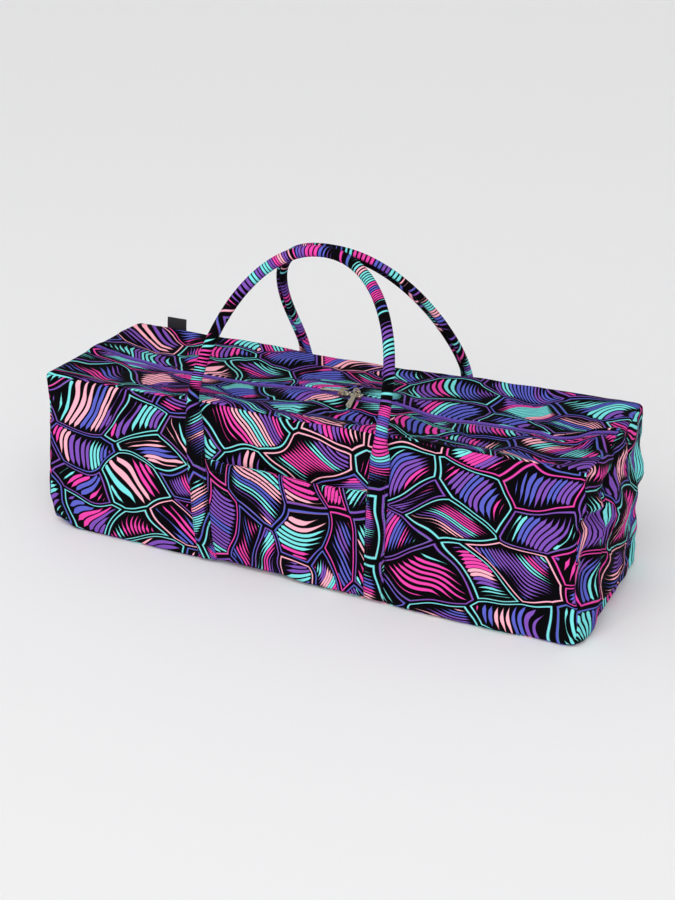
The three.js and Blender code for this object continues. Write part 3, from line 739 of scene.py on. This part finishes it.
# Panels: the node and the face of each one, which strip of the top it is, if any, the flat size of its cut
# and the place of its print on the cloth
Panel = namedtuple("Panel", "node face strip flat print_at")
PANELS = {
    "front_canvas": Panel("front_panel", "front", 0, (0.664, 0.198), (0.00, 0.00)),
    "back_canvas": Panel("back_panel", "back", 0, (0.664, 0.198), (1.30, 0.47)),
    "left_end_canvas": Panel("left_end_panel", "left", 0, (0.230, 0.196), (2.10, 0.83)),
    "right_end_canvas": Panel("right_end_panel", "right", 0, (0.232, 0.204), (3.05, 1.21)),
    "base_canvas": Panel("base_panel", "base", 0, (0.662, 0.228), (4.00, 1.62)),
    "top_front_canvas": Panel("top_front_panel", "top", -1, (0.656, 0.098), (5.00, 2.05)),
    "top_back_canvas": Panel("top_back_panel", "top", 1, (0.656, 0.097), (6.10, 2.44)),
}
CLOTH_CELL = 0.0042
SEAM_SET = (1 - math.sqrt(0.5)) * SEAM_BEND


def bend_depth(from_seam):
    """How far the cloth has turned in at a distance from the corner that two panels make."""
    if from_seam >= SEAM_BEND:
        return 0.0
    return SEAM_BEND - math.sqrt(SEAM_BEND**2 - (SEAM_BEND - from_seam) ** 2)


def groove_depth(from_seam):
    """How far the groove of a seam draws the cloth in, and towards the seam."""
    return math.sqrt(0.5) * (SEAM_GROOVE * math.exp(-(from_seam - SEAM_SET) / GROOVE_REACH))


def pucker(from_seam, along):
    """Small gathers beside a seam, highest a few millimetres from it."""
    total = 0.0
    for height, reach, pitch in PUCKERS:
        rise = max(0.0, from_seam - SEAM_SET) / reach
        total += height * rise * math.exp(1 - rise) * noise.noise(Vector((along / pitch, 0.5, 0.5)))
    return total


def panel_sheet(name, panel):
    """A panel's sheet, which turns in at its seams and, on the top, at the hem beside the zip."""
    face = FACES[panel.face]
    wide, high = half_sizes(panel.face)
    hem = ZIP_GAP / 2 / half_depth(1)
    low, top = (hem, 1.0) if panel.strip > 0 else (-1.0, -hem if panel.strip < 0 else 1.0)

    def place(u, v):
        u, v = crowded(u), crowded(v)
        across = u * (1 - SEAM_SET / wide)
        hem_at = hem_reach(across * half_length(1)) / half_depth(1)
        seam_low = hem_at if panel.strip > 0 else low + SEAM_SET / high
        seam_top = -hem_at if panel.strip < 0 else top - SEAM_SET / high
        up = mix(seam_low, seam_top, (v + 1) / 2)
        from_side = (1 - abs(across)) * wide
        from_end = (1 - abs(up)) * high
        sunk = bend_depth(from_side) + bend_depth(from_end)
        if panel.strip:
            from_hem = (abs(up) - hem_at) * high
            sunk += max(0.0, WALL * (1 - from_hem / WALL)) ** 2 / WALL / 2
        groove_side, groove_end = groove_depth(from_side), groove_depth(from_end)
        across -= math.copysign(groove_side / wide, across)
        up -= math.copysign(groove_end / high, up)
        drape_at = u, mix(low, top, (v + 1) / 2)
        point = skin(panel.face, across, up, -sunk - groove_side - groove_end, drape_at)
        if panel.face != "base":
            gathers = pucker(from_side, point.dot(face.up)) + pucker(from_end, point.dot(face.across))
            point += face.out * gathers
        point.z = max(0.0, point.z)
        return point

    def flat(u, v):
        at_x, at_y = panel.print_at
        return at_x + crowded(u) * wide, at_y + mix(low, top, (crowded(v) + 1) / 2) * high

    columns = int(2 * wide / CLOTH_CELL)
    rows = int((top - low) * high / CLOTH_CELL)
    bm = cloth_grid(columns, rows, place, flat)
    piece = finish_piece(name, bm, CANVAS, node=panel.node, thickness=WALL)


for panel_name, panel_row in PANELS.items():
    panel_sheet(panel_name, panel_row)


# Handles
def roll_share(z):
    return ease((z - ROLL_START) / (ROLL_END - ROLL_START))


def leg_point(handle, end, z):
    """The middle line of a leg, which stands off the panel as far as the strap's edges curl towards it."""
    _, edge = curl(1.0, roll_share(z), 0)
    standoff = SEAM_GAP + mix(STRAP_THICKNESS, TUBE_WALL, roll_share(z)) / 2 - edge
    x = leg_x(handle, end, z)
    on_panel = on_side(handle.side, x, min(z, bag_height(x) - WALL), standoff)
    return Vector((x, on_panel.y, z))


def arch_point(handle, share):
    """A point of the arch, a squared round from leg to leg that comes in to its crown."""
    turn = math.pi * (1 - share)
    power = 2 / handle.squareness
    climb = abs(math.sin(turn)) ** power
    reach = math.copysign(abs(math.cos(turn)) ** power, math.cos(turn))
    root = abs(leg_point(handle, -1, TUBE_SPRING).y)
    return Vector((
        handle.arch_centre + handle.shift * climb + reach * handle.arch_half,
        handle.side * mix(root, CROWN_GAP, climb),
        mix(TUBE_SPRING, handle.crown, climb),
    ))


LEG_STEPS, ARCH_STEPS, SOFTENING = 56, 110, 40


def handle_path(handle):
    """The middle line of a handle, with the bend over the top edge of the bag softened."""
    heights = [mix(STRAP_FOOT, TUBE_SPRING, i / LEG_STEPS) for i in range(LEG_STEPS)]
    path = [leg_point(handle, -1, z) for z in heights]
    path += [arch_point(handle, i / ARCH_STEPS) for i in range(ARCH_STEPS + 1)]
    path += [leg_point(handle, 1, z) for z in reversed(heights)]
    for _ in range(SOFTENING):
        path = [
            p if p.z < SOFT_FROM or i in (0, len(path) - 1) else (path[i - 1] + p * 2 + path[i + 1]) / 4
            for i, p in enumerate(path)
        ]
    return path


def handle_frames(handle):
    """For each point of the path: the point, the directions outward and sideways, and the length so far."""
    path = handle_path(handle)
    frames, run = [], 0.0
    for i, point in enumerate(path):
        along = (path[min(i + 1, len(path) - 1)] - path[max(i - 1, 0)]).normalized()
        outward = Y * handle.side
        outward = (outward - along * outward.dot(along)).normalized()
        if i:
            run += (point - path[i - 1]).length
        frames.append((point, outward, along.cross(outward).normalized(), run))
    return frames


# A flat strap keeps a trace of curl, so that its bend has a radius, and the powers round its edges
LEAST_CURL, EDGE_POWERS = 1e-4, (10, 0.3)


def curl(at, roll, side):
    """A point of the section of a strap whose edges curl towards the bag, to a tube: at runs from -1 to 1
    over its width, and side is -1 for its inner face, 1 for its outer one and 0 for the middle of the cloth.
    Gives how far it lies sideways and outward."""
    width = mix(STRAP_WIDTH, math.pi * (TUBE_DIAMETER - TUBE_WALL), roll)
    thickness = mix(STRAP_THICKNESS, TUBE_WALL, roll)
    bend = max(roll * TUBE_CURL, LEAST_CURL) / width
    turn = bend * at * width / 2
    half = side * thickness / 2 * (1 - abs(at) ** EDGE_POWERS[0]) ** EDGE_POWERS[1]
    sideways = math.sin(turn) / bend + math.sin(turn) * half
    outward = (math.cos(turn) - 1) / bend + math.cos(turn) * half
    stand = mix(STRAP_THICKNESS, TUBE_DIAMETER, roll) / 2
    return sideways, outward - thickness / 2 + stand


FACE_CELLS = 20  # across each face of a strap
HANDLE_PRINT_AT = {"front_handle": (7.0, 3.1), "back_handle": (8.4, 3.6)}


def handle_piece(name, handle):
    frames = handle_frames(handle)
    steps = len(frames) - 1

    def section(u):
        """Share across the strap, and which face: the loop runs over the inner face, then the outer one."""
        turn = (u + 1) * 2
        return (turn - 1, -1) if turn <= 2 else (3 - turn, 1)

    def place(u, v):
        point, outward, sideways, _ = frames[round((v + 1) / 2 * steps)]
        at, side = section(u)
        across, out = curl(at, roll_share(point.z), side)
        return point + sideways * across + outward * out

    def flat(u, v):
        run = frames[round((v + 1) / 2 * steps)][3]
        at_x, at_y = HANDLE_PRINT_AT[name]
        return at_x + run, at_y + u * (STRAP_WIDTH + STRAP_THICKNESS)

    bm = cloth_grid(2 * FACE_CELLS, steps, place, flat)
    bmesh.ops.remove_doubles(bm, verts=bm.verts, dist=1e-5)
    bmesh.ops.holes_fill(bm, edges=bm.edges, sides=0)
    bmesh.ops.recalc_face_normals(bm, faces=bm.faces)
    piece = finish_piece(name + "_canvas", bm, STRAP_CANVAS, node=name)


for handle_name, handle_row in HANDLES.items():
    handle_piece(handle_name, handle_row)


# Pocket
POCKET_COLUMNS, POCKET_ROWS, POCKET_WALL = 70, 64, 0.001
OUTSIDE_SHARE, TURN_SHARE, TURN_RADIUS = 0.78, 0.12, 0.00105
POCKET_DEPTH = POCKET_TOP - POCKET_FOOT
POCKET_CUT, POCKET_HALF_WIDTH, POCKET_PRINT_AT = 0.148, 0.092, (9.1, 4.2)


def pocket_point(u, climb, inset):
    """A point of the pocket's outer skin, or as far under it as inset says; climb is 1 at the mouth."""
    front = HANDLES["front_handle"]
    z = mix(POCKET_FOOT, POCKET_TOP, climb)
    edge = STRAP_WIDTH / 2 + SEAM_GAP
    x = mix(leg_x(front, -1, z) + edge, leg_x(front, 1, z) - edge, (u + 1) / 2)
    slack = POCKET_GAPE * (1 - u**4) * climb**2
    return on_side(-1, x, z, SEAM_GAP + slack + WALL - inset)


def pocket_piece():
    """The pocket's sheet goes up its outside and turns over at the mouth to its hem inside."""

    def place(u, v):
        share = (v + 1) / 2
        shoulder = 1 - TURN_RADIUS / POCKET_DEPTH
        if share <= OUTSIDE_SHARE:
            return pocket_point(u, shoulder * share / OUTSIDE_SHARE, 0.0)
        turn = (share - OUTSIDE_SHARE) / TURN_SHARE
        if turn <= 1:
            rise = TURN_RADIUS * math.sin(math.pi * turn) / POCKET_DEPTH
            return pocket_point(u, shoulder + rise, TURN_RADIUS * (1 - math.cos(math.pi * turn)))
        down = (share - OUTSIDE_SHARE - TURN_SHARE) / (1 - OUTSIDE_SHARE - TURN_SHARE)
        return pocket_point(u, shoulder - down * HEM_DEPTH / POCKET_DEPTH, 2 * TURN_RADIUS)

    def flat(u, v):
        share = (v + 1) / 2
        up = share / OUTSIDE_SHARE * POCKET_DEPTH
        if share > OUTSIDE_SHARE:
            up = mix(POCKET_DEPTH, POCKET_CUT, (share - OUTSIDE_SHARE) / (1 - OUTSIDE_SHARE))
        at_x, at_y = POCKET_PRINT_AT
        return at_x + up, at_y + u * POCKET_HALF_WIDTH

    bm = cloth_grid(POCKET_COLUMNS, POCKET_ROWS, place, flat)
    piece = finish_piece(
        "pocket_canvas", bm, CANVAS, node="front_pocket", thickness=POCKET_WALL
    )


pocket_piece()


# Zip: each loop of the coil stands off the middle, and its outer end dips to the tape
TAPE_COLUMNS, TAPE_ROWS = 150, 4
LOOP_OFF, LOOP_DIP = COIL_WIDTH / 5, 0.15
LOOP_SIZE = (COIL_WIDTH * 0.3, TOOTH_PITCH * 0.42, COIL_HEIGHT * 0.46)


def tape_piece(name, node, side):
    inner = COIL_WIDTH / 2 + SEAM_GAP

    def place(u, v):
        y = side * inner + (side + v) * TAPE_WIDTH / 2
        return on_top(u * ZIP_HALF_LENGTH, y, -TAPE_TOP)

    bm = cloth_grid(TAPE_COLUMNS, TAPE_ROWS, place, lambda u, v: (u * ZIP_HALF_LENGTH, v * TAPE_WIDTH / 2))
    finish_piece(name, bm, ZIP_TAPE, node=node, thickness=TAPE_THICKNESS)


tape_piece("zip_tape_front_weave", "zip_tape_front", -1)
tape_piece("zip_tape_back_weave", "zip_tape_back", 1)


def add_grain(bm, point, along, up, size):
    """Adds a small ellipsoid: its length along one direction, flat to another, sizes as half-lengths."""
    across = up.cross(along).normalized()
    up = along.cross(across).normalized()
    turn = Matrix((along, across, up)).transposed().to_4x4()
    matrix = Matrix.Translation(point) @ turn @ Matrix.Diagonal((*size, 1.0))
    bmesh.ops.create_uvsphere(bm, u_segments=6, v_segments=4, radius=1.0, matrix=matrix)


def coil_piece():
    """The closed coil: two rows of loops that mesh along the middle."""
    bm = bmesh.new()
    floor = TAPE_TOP + TAPE_THICKNESS
    rows = int(2 * ZIP_HALF_LENGTH / TOOTH_PITCH)
    for i in range(2 * rows):
        x = mix(-ZIP_HALF_LENGTH, ZIP_HALF_LENGTH, (i + 0.5) / (2 * rows))
        side = 1 if i % 2 else -1
        point = on_top(x, side * LOOP_OFF, COIL_HEIGHT / 2 - floor)
        add_grain(bm, point, Vector((0.0, 1.0, -LOOP_DIP * side)).normalized(), Z, LOOP_SIZE)
    finish_piece("zip_coil_loops", bm, COIL, node="zip_coil")


coil_piece()


# Sliders and pulls: the castings with their edges rounded
CASTINGS = {
    "zip_slider_left": ("bag", "left_slider_casting"),
    "zip_slider_right": ("bag", "right_slider_casting"),
    "zip_pull_left": ("left_pull", "left_pull_tab"),
    "zip_pull_right": ("right_pull", "right_pull_tab"),
}
CASTING_EDGE, SHARP_ANGLE, FLAT_ANGLE = 0.00028, math.radians(32), math.radians(2)


def casting_piece(node, body, name):
    bm = bmesh.new()
    bm.from_mesh(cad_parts[node].data)
    bmesh.ops.remove_doubles(bm, verts=bm.verts, dist=1e-6)
    bmesh.ops.dissolve_limit(bm, angle_limit=FLAT_ANGLE, verts=bm.verts, edges=bm.edges)
    sharp = [e for e in bm.edges if e.is_manifold and e.calc_face_angle(0.0) > SHARP_ANGLE]
    bmesh.ops.bevel(
        bm, geom=sharp, offset=CASTING_EDGE, segments=2, profile=0.5, affect="EDGES", material=-1,
        clamp_overlap=True,
    )
    finish_piece(name, bm, NICKEL, body=body, node=node)


for casting, (casting_body, casting_name) in CASTINGS.items():
    casting_piece(casting, casting_body, casting_name)


# Label tab: a strip of tape folded over at its top, both ends in the seam
LABEL_LAYER, LABEL_SET_BACK, LABEL_TUCK = 0.00045, 0.0016, 0.005
LABEL_THICKNESS, LABEL_COLUMNS, LABEL_ROWS = LABEL_LAYER * 0.8, 12, 40


def label_piece():
    half_turn = math.pi * LABEL_LAYER
    leg = LABEL_HEIGHT + LABEL_TUCK

    def place(u, v):
        x = LABEL_LEFT + (u + 1) / 2 * LABEL_WIDTH
        seam = on_face("top", x / half_length(1), 1.0)
        run = (v + 1) / 2 * (2 * leg + half_turn)
        if run < leg:
            out, climb = -LABEL_LAYER, run
        elif run < leg + half_turn:
            turn = (run - leg) / LABEL_LAYER
            out, climb = -LABEL_LAYER * math.cos(turn), leg + LABEL_LAYER * math.sin(turn)
        else:
            out, climb = LABEL_LAYER, 2 * leg + half_turn - run
        lean = LABEL_LEAN * (climb / leg) ** 2
        return Vector((x, seam.y - LABEL_SET_BACK + out + lean, seam.z - LABEL_TUCK + climb))

    bm = cloth_grid(LABEL_COLUMNS, LABEL_ROWS, place, lambda u, v: (u * LABEL_WIDTH / 2, v * LABEL_HEIGHT))
    piece = finish_piece(
        "label_tape", bm, BLACK_TAPE, node="label_tab", thickness=LABEL_THICKNESS
    )


label_piece()


# Stitches: how far a row lies inside an edge and beside the zip, and where the straps are tacked
EDGE_ROW, HEM_ROW, TACK_LEVEL = 0.0028, 0.003, 0.152
STITCH_SIZE = (STITCH_LENGTH / 2, STITCH_THICKNESS / 2, STITCH_THICKNESS / 2)


def stitch_row(bm, line):
    """Sews along a line of (point, outward) pairs that stand a stitch apart."""
    for (start, out), (end, _) in zip(line, line[1:]):
        add_grain(bm, (start + end) / 2, (end - start).normalized(), out, STITCH_SIZE)


def spaced(low, high):
    """Places from one to another, a stitch apart."""
    count = max(2, int(abs(high - low) / STITCH_PITCH))
    return [mix(low, high, i / count) for i in range(count + 1)]


def strap_stitches(name, handle):
    """Two rows up each flat strap, closed by two rows across it where the strap starts to curl."""
    bm = bmesh.new()
    lift = SEAM_GAP + STRAP_THICKNESS

    def sewn(end, z, across):
        point = on_side(handle.side, leg_x(handle, end, z), z, lift)
        return Vector((point.x + across, point.y, z)), Y * handle.side

    inset = STRAP_WIDTH / 2 - EDGE_ROW
    for end in (-1, 1):
        for edge in (-inset, inset):
            stitch_row(bm, [sewn(end, z, edge) for z in spaced(2 * STRAP_FOOT, TACK_LEVEL)])
        for level in (TACK_LEVEL, TACK_LEVEL - 2 * EDGE_ROW):
            stitch_row(bm, [sewn(end, level, across) for across in spaced(-inset, inset)])
    finish_piece(name + "_stitches", bm, THREAD)


def pocket_stitches():
    """Two rows that hold the hem of the pocket's mouth."""
    bm = bmesh.new()
    width = 2 * POCKET_HALF_WIDTH
    shares = [2 * s / width - 1 for s in spaced(0.0, width)]
    for drop in (EDGE_ROW, HEM_DEPTH - EDGE_ROW):
        climb = 1 - drop / POCKET_DEPTH
        stitch_row(bm, [(pocket_point(u, climb, 0.0), -Y) for u in shares])
    finish_piece("pocket_hem_stitches", bm, THREAD)


def zip_stitches():
    """A row along each hem beside the zip."""
    bm = bmesh.new()
    limit = ZIP_HALF_LENGTH - 2 * EDGE_ROW
    for side in (-1, 1):
        row = []
        for x in spaced(-limit, limit):
            y = side * (hem_reach(x) + HEM_ROW)
            row.append((skin("top", x / half_length(1), y / half_depth(1)), Z))
        stitch_row(bm, row)
    finish_piece("zip_hem_stitches", bm, THREAD)


for handle_name, handle_row in HANDLES.items():
    strap_stitches(handle_name, handle_row)
pocket_stitches()
zip_stitches()


# Camera: the photograph's place and lens, for a picture 675 wide and 900 high
CAMERA_AZIMUTH, CAMERA_ELEVATION, CAMERA_ROLL = (math.radians(d) for d in (25.579, 23.9645, 0.3393))
CAMERA_DISTANCE, CAMERA_LENS, CAMERA_SENSOR = 1.79085, 62.27, 36.0
CAMERA_TARGET = Vector((-0.0004, 0.0, 0.1169))


def add_camera():
    data = bpy.data.cameras.new("camera")
    data.lens = CAMERA_LENS
    data.sensor_width = CAMERA_SENSOR
    camera = add_object("camera", data)
    flat = math.cos(CAMERA_ELEVATION)
    back = Vector((
        math.sin(CAMERA_AZIMUTH) * flat,
        -math.cos(CAMERA_AZIMUTH) * flat,
        math.sin(CAMERA_ELEVATION),
    ))
    turn = back.to_track_quat("Z", "Y").to_matrix().to_4x4()
    roll = Matrix.Rotation(CAMERA_ROLL, 4, "Z")
    camera.matrix_world = Matrix.Translation(CAMERA_TARGET + back * CAMERA_DISTANCE) @ turn @ roll
    bpy.context.scene.camera = camera


FLOOR_REACH = 12.0


def add_floor():
    bm = bmesh.new()
    bmesh.ops.create_grid(bm, x_segments=1, y_segments=1, size=FLOOR_REACH)
    mesh = mesh_of("floor", bm)
    mesh.materials.append(studio_paper())
    floor = add_object("floor", mesh)


# Soft lights: the direction that each one comes from, how wide it looks in degrees, and its strength
Light = namedtuple("Light", "toward width strength")
LIGHTS = {
    "window_in_front": Light((0.20, -0.90, 0.60), 75.0, 1.70),
    "ceiling_bounce": Light((0.10, -0.25, 1.0), 120.0, 0.26),
}
LIGHTS_AT = Vector((0, 0, 3))

# A softbox in front, which lifts the floor there a little
SOFTBOX_AT, SOFTBOX_AIM = Vector((0.2, -1.9, 2.3)), Vector((0.0, -0.5, 0.0))
SOFTBOX_SIZE, SOFTBOX_WATTS = 2.0, 14.0

# The room, whose glow falls off from the horizon up
ROOM_COLOUR = "#F0F0F2"
ROOM_GLOW = {"From Min": 0.02, "From Max": 0.30, "To Min": 0.91, "To Max": 0.51}


def add_lamp(name, kind, energy, place, toward):
    data = bpy.data.lights.new(name, kind)
    data.energy = energy
    lamp = add_object(name, data)
    turn = toward.to_track_quat("Z", "Y").to_matrix().to_4x4()
    lamp.matrix_world = Matrix.Translation(place) @ turn
    return data


def add_lights():
    for name, light in LIGHTS.items():
        sun = add_lamp(name, "SUN", light.strength, LIGHTS_AT, Vector(light.toward))
        sun.angle = math.radians(light.width)
    softbox = add_lamp("softbox_in_front", "AREA", SOFTBOX_WATTS, SOFTBOX_AT, SOFTBOX_AT - SOFTBOX_AIM)
    softbox.size = SOFTBOX_SIZE
    world = bpy.data.worlds.new("studio")
    world.use_nodes = True
    tree = world.node_tree
    direction = add_node(tree, "TexCoord", {})["Generated"]
    height = add_node(tree, "SeparateXYZ", {"Vector": direction})["Z"]
    glow = {"Value": height, **ROOM_GLOW}
    strength = add_node(tree, "MapRange", glow, interpolation_type="SMOOTHSTEP")[0]
    set_inputs(tree.nodes["Background"], {"Color": srgb(ROOM_COLOUR), "Strength": strength})
    bpy.context.scene.world = world
    bpy.context.scene.view_settings.view_transform = "Standard"


add_camera()
add_floor()
add_lights()
